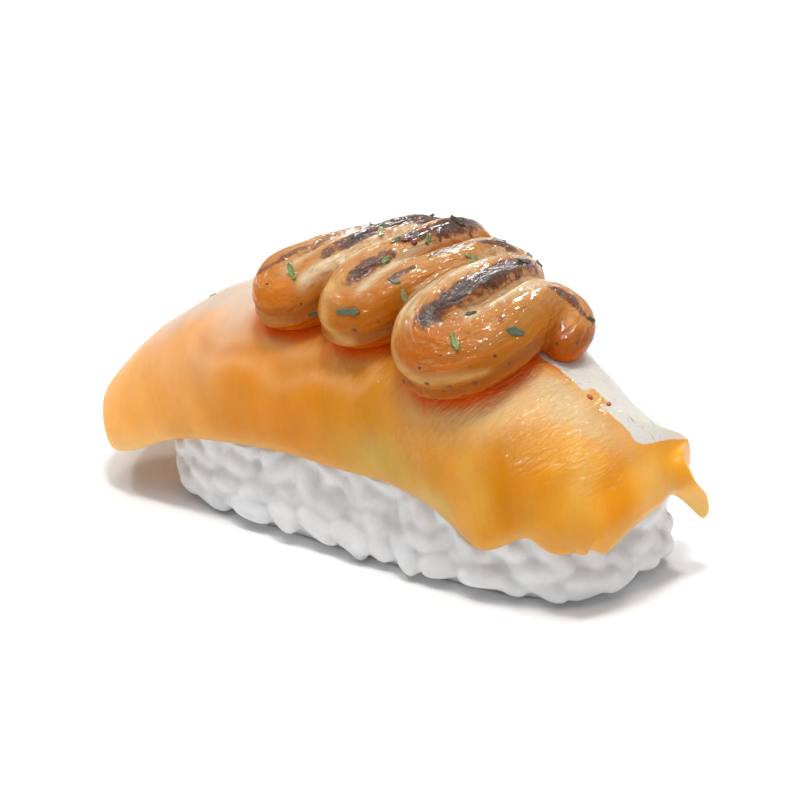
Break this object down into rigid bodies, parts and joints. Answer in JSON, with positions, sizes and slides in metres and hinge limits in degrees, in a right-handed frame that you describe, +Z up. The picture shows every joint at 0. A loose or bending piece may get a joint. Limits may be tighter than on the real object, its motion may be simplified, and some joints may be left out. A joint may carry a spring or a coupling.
{
  "type": "salmon nigiri",
  "caption": "Seared salmon nigiri: pressed rice block, a thick salmon slice draped over it, and a piped zigzag of browned sauce with herb flakes on top.",
  "frame": {"origin": "middle of the rice block's flat foot, where it stands on the table", "axes": "+X along the block towards the end where the slice wraps down, +Y across it to the back, +Z up"},
  "size_m": [0.0776, 0.0318, 0.0354],
  "materials": {
    "rice": "cooked rice, damp and softly shiny",
    "salmon": "raw salmon, oily and wet, lightly seared",
    "sauce": "torched mayonnaise sauce, glossy, browned on its crests"
  },
  "bodies": {
    "root": {"rice": "rice", "salmon": "salmon", "sauce": "sauce"}
  },
  "joints": []
}
